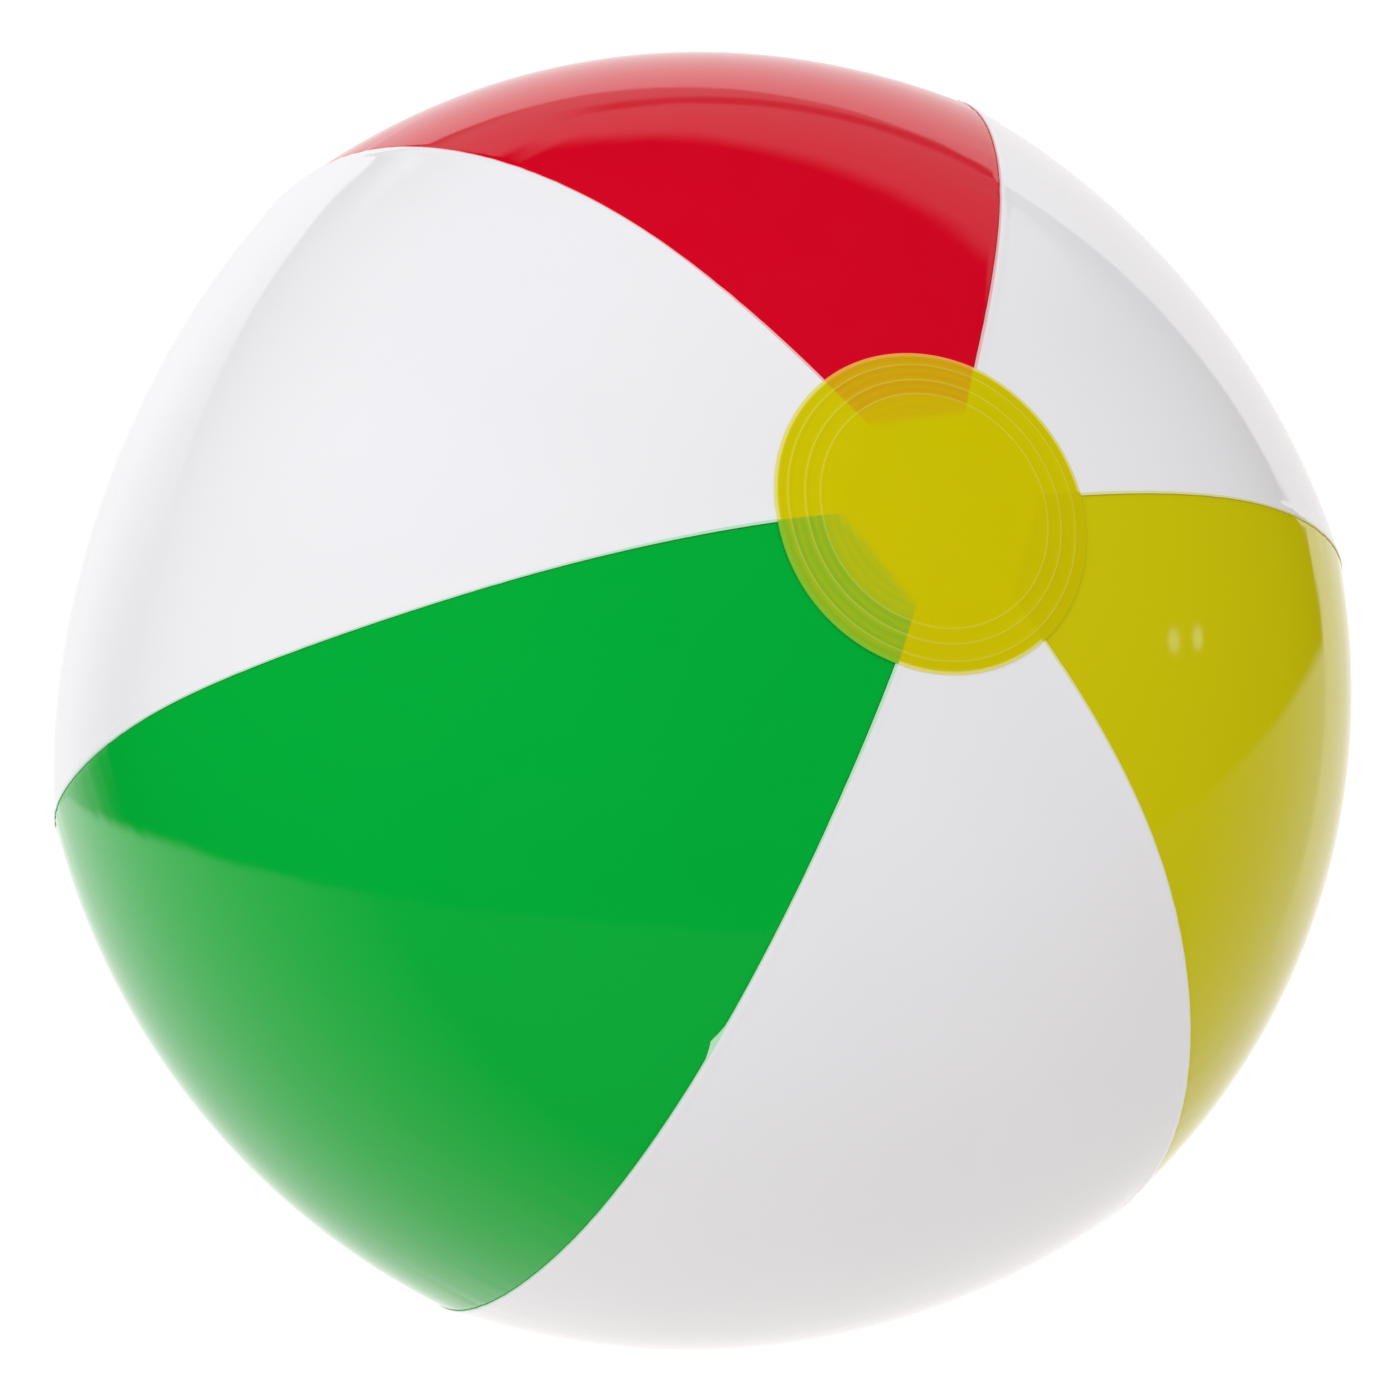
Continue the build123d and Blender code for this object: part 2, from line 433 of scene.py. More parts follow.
# The gores. Their columns near a seam keep a set distance from it, so that the lap is one width.
lap = {
    "whiteLines": (0.0003, 0.0005, 0.0010, 0.0015, 0.0027, 0.0032, 0.0046),
    "colourLines": (-0.0028, -0.0009, -0.0004, 0.0, 0.0008, 0.0020, 0.0035),
    "tintStrips": 3,             # how many of the white gore's columns show the colour under it
    "tintNear": 0.72,            # their share of the width beside the discs
    "tintFar": 0.44,             # and away from them
    "tintChange": (0.05, 0.13),
    "darkLineStrip": 2,              # which of the coloured gore's columns is the dark line at the white film's edge
    "press": 0.00012,            # how far the welding tool presses the film in
    "whitePress": (0.0003, 0.0007),
    "whiteStep": (0.0027, 0.0034),
    "stepShare": 0.7,
    "colourMiddle": 0.0002,
    "colourPress": (0.0003, 0.0010),
    "pucker": 0.00007,
    "puckerReach": 0.014,
    "puckerPitch": 0.0086,
    "puckerWaves": ((1, 1, 1), (0.7, 0.61, 2), (0.5, 1.7, 0)),     # size, rate, each seam's shift
    "patchRate": 0.11,
    "patchShift": 3,
    "nick": {"seam": 4, "radius": 0.155, "reach": 0.0023, "depth": 0.0014, "lines": (1, 1, 0.6)},
}


def lapLines(isWhite, seamNumber, radius, z):
    if not isWhite:
        return lap["colourLines"]
    share = lap["tintNear"] + (lap["tintFar"] - lap["tintNear"]) * ease(radius, *lap["tintChange"])
    lines = [d * share if i <= lap["tintStrips"] else d for i, d in enumerate(lap["whiteLines"])]
    nick = lap["nick"]
    if seamNumber == nick["seam"] and z > 0:
        bite = nick["depth"] * math.exp(-(((radius - nick["radius"]) / nick["reach"]) ** 2))
        for i, part in enumerate(nick["lines"]):
            lines[i] -= bite * part
    return lines


def seamHeight(distance, isWhite):
    if isWhite:
        edge = ease(distance, *lap["whitePress"]) - 1
        step = 1 - ease(distance, *lap["whiteStep"])
        return lap["press"] * (edge + lap["stepShare"] * step)
    return lap["press"] * (ease(abs(distance + lap["colourMiddle"]), *lap["colourPress"]) - 1)


def pucker(seamNumber, distance, along):
    s = along / lap["puckerPitch"] * 2 * math.pi
    wave = sum(size * math.sin(rate * s + shift * seamNumber) for size, rate, shift in lap["puckerWaves"])
    patch = 0.5 + 0.5 * math.sin(lap["patchRate"] * s + lap["patchShift"] * seamNumber)
    return lap["pucker"] * wave * patch * math.exp(-abs(distance) / lap["puckerReach"])


# How many degrees off its seam a column lies.
def columnAngle(fromSeam, lines, seamRadius):
    lineAngles = [math.degrees(math.asin(d / seamRadius)) for d in lines]
    last = len(lines) - 1
    if fromSeam <= last:
        return lineAngles[fromSeam]
    share = (fromSeam - last) / (skin["columns"] / 2 - last)
    return lineAngles[last] + (goreAngle / 2 - lineAngles[last]) * share


# The gore is drawn from +X on. Each point goes to its place, and its column is noted.
def shapeGore(mesh, number, isWhite):
    first = number * goreAngle
    clear = skin["seamClear"]
    columnOf = []
    for v in mesh.vertices:
        radius = math.hypot(v.co.x, v.co.y)
        column = round(math.degrees(math.atan2(v.co.y, v.co.x)) / goreAngle * skin["columns"])
        columnOf.append(column)
        atEnd = column * 2 > skin["columns"]
        seamNumber = (number + atEnd) % goreCount
        seamRadius = lobeRadius(radius * skin["middleShare"], halfGore)
        lines = lapLines(isWhite, seamNumber, radius, v.co.z)
        angle = columnAngle(min(column, skin["columns"] - column), lines, seamRadius)
        distance = seamRadius * math.sin(math.radians(angle))
        azimuth = first + (goreAngle - angle if atEnd else angle)
        within = min(first + goreAngle - clear, max(first + clear, azimuth))
        place = settled(within, radius, v.co.z)
        place.rotate(Quaternion((0, 0, 1), math.radians(azimuth - within)))
        along = math.atan2(radius, v.co.z) * skin["equator"]
        lift = seamHeight(distance, isWhite) + pucker(seamNumber, distance, along)
        outward = Vector((place.x, place.y, place.z * skin["flatness"])).normalized()
        v.co = place + outward * lift
    return columnOf


def colourGore(mesh, number, isWhite, columnOf):
    colour = goreColour(number)
    mesh.materials.append(films[colour])
    if isWhite:
        mesh.materials.append(lapTints[goreColour(number - 1)])
        mesh.materials.append(lapTints[goreColour(number + 1)])
    else:
        mesh.materials.append(darkLines[colour])
    for face in mesh.polygons:
        strip = min(columnOf[i] for i in face.vertices)
        fromSeam = min(strip, skin["columns"] - 1 - strip)
        if isWhite and fromSeam < lap["tintStrips"]:
            face.material_index = 1 if strip < skin["columns"] / 2 else 2
        if not isWhite and fromSeam == lap["darkLineStrip"]:
            face.material_index = 1


# An open sheet can come out facing either way, so one of its faces is asked.
def faceOut(piece):
    recalculateNormals(piece)
    face = piece.data.polygons[len(piece.data.polygons) // 2]
    if face.normal.dot(face.center) < 0:
        editAll(piece)
        bpy.ops.mesh.flip_normals()
        leaveEdit()


def giveThickness(piece, outward, even):
    wall = piece.modifiers.new("film", "SOLIDIFY")
    wall.thickness = film
    wall.offset = 1 if outward else -1
    wall.use_even_offset = even
    applyModifier(piece, "film")


# White gores lie over the coloured ones. The valve is in the first gore.
def makeGore(number, name):
    isWhite = "white" in name
    end = math.asin(skin["goreEnd"] / polarRadius)
    piece = drawMeridian(name + "_film", end, math.pi - end, skin["rowStep"])
    spinAll(skin["columns"], math.radians(goreAngle))
    leaveEdit()
    columnOf = shapeGore(piece.data, number, isWhite)
    colourGore(piece.data, number, isWhite, columnOf)
    faceOut(piece)
    if number == 0:
        raiseFlangeRing(piece)
    giveThickness(piece, isWhite, True)
    if number == 0:
        cutValveHole(piece)
    smooth(piece)
    return piece


# The air valve's place, near the rear disc. Its axis is square to the skin.
valve = {
    "azimuth": 30.0,
    "tilt": 19.0,
    "out": 0.08277,              # of its origin, from the ball's axis
    "z": -0.1674492,
    "hole": 0.01048,
    "near": 0.02,                # all of the valve is within this of its origin
    "ring": (0.0112, 0.0146),    # the welded ring that shows through the film
    "ringEdge": 0.0008,
    "ringRise": 0.00016,
    "finer": ((2, 0.020), (1, 0.0175)),    # cuts of the film's faces, within a radius
    "steps": 96,
    "merge": 0.000005,
}


def valvePlace():
    a = math.radians(valve["azimuth"])
    t = math.radians(valve["tilt"])
    out = Vector((math.sin(t) * math.cos(a), math.sin(t) * math.sin(a), -math.cos(t)))
    along = Vector((math.cos(t) * math.cos(a), math.cos(t) * math.sin(a), math.sin(t)))
    turn = Matrix((along, out.cross(along), out)).transposed()
    origin = Vector((valve["out"] * math.cos(a), valve["out"] * math.sin(a), valve["z"]))
    return origin, turn, out


valveAt, valveTurn, valveOut = valvePlace()


def placeOnValve(piece):
    makeActive(piece)
    piece.rotation_mode = "QUATERNION"
    piece.rotation_quaternion = valveTurn.to_quaternion()
    piece.location = valveAt
    applyPlace(piece)


def fromValveAxis(point):
    offset = point - valveAt
    height = offset.dot(valveOut)
    return (offset - valveOut * height).length, height


def raiseFlangeRing(piece):
    near = valve["near"]
    for cuts, reach in valve["finer"]:
        editAll(piece)
        bpy.ops.mesh.select_all(action="DESELECT")
        leaveEdit()
        for face in piece.data.polygons:
            radius, height = fromValveAxis(face.center)
            face.select = radius < reach and abs(height) < near
        bpy.ops.object.mode_set(mode="EDIT")
        bpy.ops.mesh.select_mode(type="FACE")
        bpy.ops.mesh.subdivide(number_cuts=cuts)
        leaveEdit()
    low, high = valve["ring"]
    edge = valve["ringEdge"]
    for v in piece.data.vertices:
        radius, height = fromValveAxis(v.co)
        if radius < near and abs(height) < near:
            rise = ease(radius, low - edge, low) * (1 - ease(radius, high, high + edge))
            v.co += valveOut * valve["ringRise"] * rise


def cutValveHole(piece):
    deselectAll()
    bpy.ops.mesh.primitive_cylinder_add(
        vertices=valve["steps"], radius=valve["hole"], depth=valve["near"]
    )
    cutter = bpy.context.object
    placeOnValve(cutter)
    hole = piece.modifiers.new("hole", "BOOLEAN")
    hole.operation = "DIFFERENCE"
    hole.solver = "EXACT"
    hole.object = cutter
    applyModifier(piece, "hole")
    makeActive(cutter)
    bpy.ops.object.delete()


for number, name in enumerate(goreNames):
    gore = makeGore(number, name)
    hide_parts(name)
    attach(gore, "ball")
print("gores made", goreCount)

# The end discs. The gores' ends show through them, at these azimuths.
discs = {
    "radius": 0.0493,
    "frontSlip": (-0.0018, -0.0004),     # how far the front disc is welded off the ball's axis
    "frontEnds": {"red": (62.0, 121.8), "green": (178.0, 242.0), "yellow": (299.5, 362.0)},
    "rearEnds": {"red": (58.2, 121.8), "green": (178.2, 241.8), "yellow": (298.2, 361.8)},
    "rowStep": 0.0004,
    "segments": 240,
    "merge": 0.000002,
    "ridges": ((0.0357, 0.00006), (0.0402, 0.00014), (0.0452, 0.00016)),     # radius and height
    "ridgeWidth": 0.0006,
    "wobble": 0.0002,            # of the ridges' radius
    "wobbleWaves": 3,
    "wobbleShift": 70,
    "rim": 0.0013,
    "rimPress": 0.00012,
    "overGores": 0.00034,        # the disc's underside above the drawn skin
    "overHole": 0.00020,
    "edgeLow": 0.0045,           # how gently it steps up onto the ends of the gores
    "edgeHigh": 0.0008,
    "wrinkle": 0.00003,
    "wrinkleWaves": 7,
    "wrinkleRates": (90, 160),
    "wrinkleFrom": 0.02,
}
discLook = {
    "colour": (0.69, 0.60, 0.0005),
    "gloss": 0.06,
    "swell": 0.45,
    "weldFrom": (0.0346, 0.0366),        # the ends show less inside the first ridge
    "weldLevels": (0.55, 1),
    "stripePitch": 0.0026,       # of the tones that the weld ridges leave over the gores' ends
    "stripeLevels": (0.84, 1.08),
    "blotchScale": 260,
    "blotchSpan": (0.35, 0.65),
    "blotchLevels": (0.9, 1),
    "endFrom": (0.0255, 0.0300),
    "endSoft": 0.004,
    "ends": {"red": (0.70, 0.40, 0.006), "green": (0.30, 0.52, 0.018), "yellow": (0.66, 0.57, 0.001)},
    # The disc's outer band is painted lighter: the edge's paler tone, with a painted highlight along the
    # edge.
    "rimHighlightEnds": {"red": (1.0, 0.40, 0.09), "green": (0.22, 0.60, 0.04), "yellow": (0.66, 0.59, 0.003)},
    "rimHighlightColour": (0.88, 0.80, 0.22),
    "rimHighlightBand": (0.0012, 0.0006),         # in from the edge
    "rimHighlightLevel": 0.9,
    # A painted highlight: a thin lighter line beside each weld ridge.
    "crestHighlightColour": (0.92, 0.86, 0.20),
    "crestHighlightOut": 0.0003,          # the painted highlight line is on the outer side of the ridge
    "crestHighlightWidth": 0.0004,
    "crestHighlightLevel": 0.22,
}


# How much of a gore's end shows at a place: a wedge of its azimuths, cut off by a chord.
def goreEnd(tree, flat, radius, span):
    middle = math.radians(sum(span) / 2)
    half = math.radians((span[1] - span[0]) / 2)
    soft = discLook["endSoft"]
    across = vectorMath(tree, "DOT_PRODUCT", flat, (math.cos(middle), math.sin(middle), 0))
    share = calc(tree, "DIVIDE", across, radius)
    wedge = mapRange(tree, share, (math.cos(half) - soft, math.cos(half) + soft), (0, 1))
    return times(tree, wedge, mapRange(tree, across, discLook["endFrom"], (0, 1), "SMOOTHSTEP"))


def discMaterial(name, slip, ends):
    look = discLook
    material = filmMaterial(name, look["colour"], look["gloss"], look["swell"])
    tree = material.node_tree
    where = objectPlace(tree)
    flat = vectorMath(tree, "MULTIPLY", where, (1, 1, 0))
    radius = vectorMath(tree, "LENGTH", flat)
    ring = vectorMath(tree, "LENGTH", vectorMath(tree, "SUBTRACT", flat, (*slip, 0)))
    welded = mapRange(tree, ring, look["weldFrom"], look["weldLevels"], "SMOOTHSTEP")
    turns = calc(tree, "SINE", calc(tree, "MULTIPLY", ring, 2 * math.pi / look["stripePitch"]))
    stripes = mapRange(tree, turns, (-1, 1), look["stripeLevels"])
    mottle = noise(tree, where, look["blotchScale"], 2)
    blotch = mapRange(tree, mottle, look["blotchSpan"], look["blotchLevels"])
    depth = times(tree, welded, stripes, blotch)

    shader = shaderOf(material)
    base = paintOf(shader)
    rimHighlightColour = look["rimHighlightColour"]
    for colour, span in ends.items():
        end = goreEnd(tree, flat, radius, span)
        base = mixColour(tree, times(tree, end, depth), base, look["ends"][colour])
        rimHighlightColour = mixColour(tree, end, rimHighlightColour, look["rimHighlightEnds"][colour])
    # Painted highlights: a thin lighter line on the outer side of each weld ridge.
    for place, tall in discs["ridges"]:
        away = calc(tree, "ABSOLUTE", calc(tree, "SUBTRACT", ring, place + look["crestHighlightOut"]))
        crestHighlight = mapRange(tree, away, (0, look["crestHighlightWidth"]), (look["crestHighlightLevel"], 0), "SMOOTHSTEP")
        base = mixColour(tree, crestHighlight, base, look["crestHighlightColour"])
    # The outer band is painted lighter: the edge's paler tone, with a painted highlight along it.
    band = tuple(discs["radius"] - inward for inward in look["rimHighlightBand"])
    rim = mapRange(tree, ring, band, (0, look["rimHighlightLevel"]), "SMOOTHSTEP")
    tree.links.new(mixColour(tree, rim, base, rimHighlightColour), shader.inputs["Base Color"])
    return material


# The height of the drawn skin under a point of the disc.
def skinHeight(radius, offAxis):
    e = skin["lobeOffset"]
    middle = math.sqrt(radius**2 + 2 * radius * e * math.cos(offAxis) + e * e) - e
    return polarHeight + math.sqrt(polarRadius**2 - (middle / skin["middleShare"]) ** 2)


# How far the disc's underside is above it, with its weld ridges, wrinkles and pressed rim.
def discLift(ring, radius, offAxis, turn):
    across = radius * math.cos(offAxis)
    onGores = ease(across, skin["goreEnd"] - discs["edgeLow"], skin["goreEnd"] + discs["edgeHigh"])
    lift = discs["overHole"] + (discs["overGores"] - discs["overHole"]) * onGores
    for place, tall in discs["ridges"]:
        wobble = discs["wobble"] * math.sin(discs["wobbleWaves"] * turn + discs["wobbleShift"] * place)
        lift += tall * math.exp(-(((ring - place - wobble) / discs["ridgeWidth"]) ** 2))
    slow, fast = discs["wrinkleRates"]
    wrinkle = math.sin(discs["wrinkleWaves"] * turn + slow * ring) * math.sin(fast * ring)
    lift += discs["wrinkle"] * wrinkle * ease(ring, 0, discs["wrinkleFrom"])
    return lift - discs["rimPress"] * ease(ring, discs["radius"] - discs["rim"], discs["radius"])


def makeDisc(name, isRear, slip, ends):
    edge = math.asin(discs["radius"] / polarRadius)
    piece = drawMeridian(name + "_film", 0, edge, discs["rowStep"])
    spinAll(discs["segments"], 2 * math.pi)
    mergeAll(discs["merge"])
    leaveEdit()
    for v in piece.data.vertices:
        ring = math.hypot(v.co.x, v.co.y)
        x = v.co.x + slip[0]
        y = v.co.y + slip[1]
        radius = math.hypot(x, y)
        turn = math.atan2(y, x) % (2 * math.pi)
        number, offAxis = goreAt(math.degrees(turn))
        v.co = Vector((x, y, skinHeight(radius, offAxis) + discLift(ring, radius, offAxis, turn)))
    piece.data.materials.append(discMaterial(name.replace("end_", ""), slip, ends))
    faceOut(piece)
    giveThickness(piece, True, False)
    if isRear:
        piece.rotation_euler = (math.pi, 0, 0)
        applyPlace(piece)
    smooth(piece)
    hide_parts(name)
    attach(piece, "ball")


makeDisc("end_disc_front", False, discs["frontSlip"], discs["frontEnds"])
makeDisc("end_disc_rear", True, (0, 0), discs["rearEnds"])
print("discs made")

vinylLook = {
    "colour": (0.74, 0.76, 0.77),
    "glow": 0.35,
    "gloss": 0.20,
    "flapColour": (0.80, 0.80, 0.76),
    "flapGlow": 0.5,
    "flapGloss": 0.30,
    "swell": 0.25,
    "glowReach": (0.004, 0.004, 0.004),
    "glowScale": 0.6,
    "fogScale": 420,
    "fogSpan": (0.3, 0.7),
    "fogLevels": (0, 0.35),
    "fogTone": 0.93,
}


def vinylMaterial(name, colour, glow, gloss):
    look = vinylLook
    material = filmMaterial(name, colour, gloss, look["swell"])
    tree = material.node_tree
    shader = shaderOf(material)
    shader.inputs["Subsurface Weight"].default_value = glow
    shader.inputs["Subsurface Radius"].default_value = look["glowReach"]
    shader.inputs["Subsurface Scale"].default_value = look["glowScale"]
    cloud = noise(tree, objectPlace(tree), look["fogScale"], 3)
    fog = mapRange(tree, cloud, look["fogSpan"], look["fogLevels"])
    paint = mixColour(tree, fog, paintOf(shader), tinted(colour, look["fogTone"]))
    tree.links.new(paint, shader.inputs["Base Color"])
    return material


vinyl = vinylMaterial("valve_vinyl", vinylLook["colour"], vinylLook["glow"], vinylLook["gloss"])
flapVinyl = vinylMaterial(
    "flap_vinyl", vinylLook["flapColour"], vinylLook["flapGlow"], vinylLook["flapGloss"]
)


# The valve's pieces are drawn about the valve's axis, in mm: heights are out from the skin, and
# the strap lies along +X. A closed outline of radius and height is turned about the axis.
def turnedOutline(name, outline, step=None):
    points = [Vector((r / 1000, 0, z / 1000)) for r, z in outline]
    piece = startPoint(name, points[0])
    for here, there in zip(points, points[1:] + points[:1]):
        span = there - here
        parts = 1 if step is None else max(1, math.ceil(span.length * 1000 / step))
        for _ in range(parts):
            bpy.ops.mesh.extrude_region_move(TRANSFORM_OT_translate={"value": span / parts})
    mergeAll(valve["merge"])
    spinAll(valve["steps"], 2 * math.pi)
    mergeAll(valve["merge"])
    recalculateNormals(piece)
    return piece


def softenEdges(piece, width=0.13, segments=3):
    bevel = piece.modifiers.new("edges", "BEVEL")
    bevel.width = width / 1000
    bevel.segments = segments
    bevel.limit_method = "ANGLE"
    bevel.angle_limit = math.radians(30)
    applyModifier(piece, "edges")


def slab(name, xLow, xHigh, width, zLow, zHigh):
    deselectAll()
    middle = ((xLow + xHigh) / 2000, 0, (zLow + zHigh) / 2000)
    bpy.ops.mesh.primitive_cube_add(size=1, location=middle)
    piece = bpy.context.object
    piece.name = name
    piece.scale = ((xHigh - xLow) / 1000, width / 1000, (zHigh - zLow) / 1000)
    applyPlace(piece)
    return piece


# A slab with round ends, from a low cylinder pulled out along X.
def roundSlab(name, xLow, xHigh, width, zLow, zHigh):
    deselectAll()
    centre = ((xLow + width / 2) / 1000, 0, (zLow + zHigh) / 2000)
    bpy.ops.mesh.primitive_cylinder_add(
        vertices=valve["steps"] // 2, radius=width / 2000, depth=(zHigh - zLow) / 1000, location=centre
    )
    piece = bpy.context.object
    piece.name = name
    applyPlace(piece)
    editAll(piece)
    bpy.ops.mesh.select_all(action="DESELECT")
    leaveEdit()
    for v in piece.data.vertices:
        v.select = v.co.x > centre[0] + valve["merge"] * 2
    bpy.ops.object.mode_set(mode="EDIT")
    bpy.ops.transform.translate(value=((xHigh - xLow - width) / 1000, 0, 0))
    leaveEdit()
    return piece


def joined(pieces):
    makeActive(pieces[0])
    for piece in pieces:
        piece.select_set(True)
    bpy.ops.object.join()
    return bpy.context.object


def finishValvePiece(piece, node, material):
    placeOnValve(piece)
    piece.data.materials.clear()
    piece.data.materials.append(material)
    recalculateNormals(piece)
    smooth(piece, 35)
    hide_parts(node)


flange = {"bore": 9.58, "middle": 12.3, "radius": 14.97, "thick": 0.7, "step": 0.9}
flangeTops = {"bore": -0.48, "middle": -0.575, "radius": -0.73}


def makeFlange():
    top = [(flange[place], height) for place, height in flangeTops.items()]
    foot = [(radius, height - flange["thick"]) for radius, height in reversed(top)]
    piece = turnedOutline("valve_flange_ring", top + foot, flange["step"])
    softenEdges(piece)
    finishValvePiece(piece, "valve_flange", vinyl)
    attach(piece, "ball")


stem = {
    "bore": 3.5,
    "radius": 5.43,
    "tip": 1.0,
    "base": -8.0,
    "collar": 6.17,
    "collarTop": -6.8,
    "seatMouth": 4.28,           # the seat that the stopper goes into, at the tip
    "seatBottom": 3.548,
    "seatFoot": -2.51,
}
sleeve = {
    "out": flange["bore"] - 0.01,
    "outTop": -0.49,
    "outFoot": -1.17,
    "in": stem["collar"] + 0.05,
    "inTop": -6.9,
    "inFoot": -7.98,
    "step": 0.35,
    "edge": 0.1,
    "bendFrom": -0.9,
    "bendTo": -7.1,
}


# The sleeve, from the flange's bore down to the stem's collar, drawn in one shape. The real one turns inside
# out as the stem comes up.
def makeSleeve():
    outline = [
        (sleeve["out"], sleeve["outTop"]),
        (sleeve["out"], sleeve["outFoot"]),
        (sleeve["in"], sleeve["inFoot"]),
        (sleeve["in"], sleeve["inTop"]),
    ]
    piece = turnedOutline("valve_sleeve_skin", outline, sleeve["step"])
    softenEdges(piece, sleeve["edge"], 2)
    finishValvePiece(piece, "valve_sleeve", vinyl)
    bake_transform(piece)


# The strap ties the plug to the stem: a run on each, and a fold between them.
strap = {
    "reach": 15.5,
    "width": 5.0,
    "thick": 0.6,
    "gap": 0.1,                  # from each run to the level of the stem's tip
    "root": 0.5,                 # how far the stem's run goes into its wall
    "edge": 0.16,
    "foldAt": 15.53,
    "foldSteps": 48,
    "foldEdge": 0.1,
    "foldBend": 0.15,
}


def makeStem():
    tube = turnedOutline("valve_stem_tube", [
        (stem["bore"], stem["base"]),
        (stem["collar"], stem["base"]),
        (stem["collar"], stem["collarTop"]),
        (stem["radius"], stem["collarTop"]),
        (stem["radius"], stem["tip"]),
        (stem["seatMouth"], stem["tip"]),
        (stem["seatBottom"], stem["seatFoot"]),
        (stem["bore"], stem["seatFoot"]),
    ])
    softenEdges(tube)
    top = stem["tip"] - strap["gap"]
    inner = stem["radius"] - strap["root"]
    run = slab("run", inner, strap["reach"], strap["width"], top - strap["thick"], top)
    softenEdges(run, strap["edge"])
    piece = joined([tube, run])
    finishValvePiece(piece, "valve_stem", vinyl)
    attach(piece, "stem")


plug = {
    "head": 5.62,
    "headLow": 1.05,
    "headTop": 2.2,
    "chamfer": 0.4,
    "dish": 2.2,
    "dishFloor": 1.9,
    "dishDepth": 0.25,
    "stopperTop": 4.24,
    "stopperFoot": -2.45,
    "tab": 3.88,                 # the pull tab, past the head
    "tabRoot": 0.81,
    "tabThick": 0.8,
    "ribs": 4,
    "ribsFrom": 2.9,
    "ribPitch": 0.62,
    "ribLength": 0.26,
    "ribShare": 0.72,            # of the strap's width
    "ribFoot": 0.7,
    "ribTop": 0.98,
    "ribEdge": 0.08,
}


def makePlug():
    head = plug["head"]
    body = turnedOutline("valve_plug_body", [
        (0, plug["stopperFoot"]),
        (stem["bore"], plug["stopperFoot"]),
        (plug["stopperTop"], plug["headLow"]),
        (head, plug["headLow"]),
        (head, plug["headTop"] - plug["chamfer"]),
        (head - plug["chamfer"], plug["headTop"]),
        (plug["dish"], plug["headTop"]),
        (plug["dishFloor"], plug["headTop"] - plug["dishDepth"]),
        (0, plug["headTop"] - plug["dishDepth"]),
    ])
    softenEdges(body)
    low = stem["tip"] + strap["gap"]
    run = slab("run", head / 2, strap["reach"], strap["width"], low, low + strap["thick"])
    end = -head - plug["tab"]
    tab = roundSlab("tab", end, -plug["tabRoot"], strap["width"], low, low + plug["tabThick"])
    pieces = [body, run, tab]
    for piece in (run, tab):
        softenEdges(piece, strap["edge"])
    for i in range(plug["ribs"]):
        x = -head - plug["ribsFrom"] + plug["ribPitch"] * i
        width = strap["width"] * plug["ribShare"]
        rib = slab("rib", x, x + plug["ribLength"], width, low + plug["ribFoot"], low + plug["ribTop"])
        softenEdges(rib, plug["ribEdge"])
        pieces.append(rib)
    piece = joined(pieces)
    finishValvePiece(piece, "valve_plug", vinyl)
    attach(piece, "plug")


# The fold's section is drawn on the stem's run, then spun half a turn up to the plug's.
def makeFold():
    x = strap["foldAt"] / 1000
    level = stem["tip"] / 1000
    near = strap["gap"] / 1000
    thick = strap["thick"] / 1000
    width = strap["width"] / 1000
    piece = startPoint("strap_fold_bend", (x, -width / 2, level - near))
    for span in ((0, 0, -thick), (0, width, 0), (0, 0, thick), (0, -width, 0)):
        bpy.ops.mesh.extrude_region_move(TRANSFORM_OT_translate={"value": span})
    mergeAll(valve["merge"])
    bpy.ops.mesh.select_all(action="SELECT")
    bpy.ops.mesh.edge_face_add()
    bpy.ops.mesh.spin(steps=strap["foldSteps"], angle=math.pi, center=(x, 0, level), axis=(0, 1, 0))
    leaveEdit()
    softenEdges(piece, strap["foldEdge"], 2)
    finishValvePiece(piece, "strap_fold", vinyl)
    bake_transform(piece)


flap = {
    "radius": 4.58,
    "low": -8.44,
    "top": -8.06,
    "thin": 0.08,                # the rim's taper, from each face
    "flat": 4.3,                 # where it starts
    "root": (0.5, 5.2),
    "rootWidth": 5.98,
    "edge": 0.05,
    "rootEdge": 0.1,
}


def makeFlap():
    low, top, thin = flap["low"], flap["top"], flap["thin"]
    leaf = turnedOutline("check_flap_leaf", [
        (0, low),
        (flap["flat"], low),
        (flap["radius"], low + thin),
        (flap["radius"], top - thin),
        (flap["flat"], top),
        (0, top),
    ])
    softenEdges(leaf, flap["edge"], 2)
    root = slab("root", *flap["root"], flap["rootWidth"], low, top)
    softenEdges(root, flap["rootEdge"])
    piece = joined([leaf, root])
    finishValvePiece(piece, "check_flap", flapVinyl)
    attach(piece, "flap")


makeFlange()
makeSleeve()
makeStem()
makePlug()
makeFold()
makeFlap()
print("valve made")

# The camera looks at the ball's middle.
view = {
    "azimuth": -60.35,
    "elevation": 60.31,
    "roll": 50.85,
    "distance": 2.390,
    "lens": 198.6,
    "sensor": 36,
    "clip": (0.05, 50),
    "left": 0.0006,              # how far the camera itself stands off that line
    "up": 0.0006,
}


def setCamera():
    a = math.radians(view["azimuth"])
    e = math.radians(view["elevation"])
    back = Vector((math.sin(a) * math.cos(e), -math.cos(a) * math.cos(e), math.sin(e)))
    turn = back.to_track_quat("Z", "Y") @ Quaternion((0, 0, 1), math.radians(view["roll"]))
    right = turn @ Vector((1, 0, 0))
    up = turn @ Vector((0, 1, 0))
    data = bpy.data.cameras.new("camera")
    data.lens = view["lens"]
    data.sensor_width = view["sensor"]
    data.clip_start, data.clip_end = view["clip"]
    camera = bpy.data.objects.new("camera", data)
    bpy.context.scene.collection.objects.link(camera)
    camera.rotation_mode = "QUATERNION"
    camera.rotation_quaternion = turn
    camera.location = back * view["distance"] - right * view["left"] + up * view["up"]
    bpy.context.scene.camera = camera
    return right, up, back


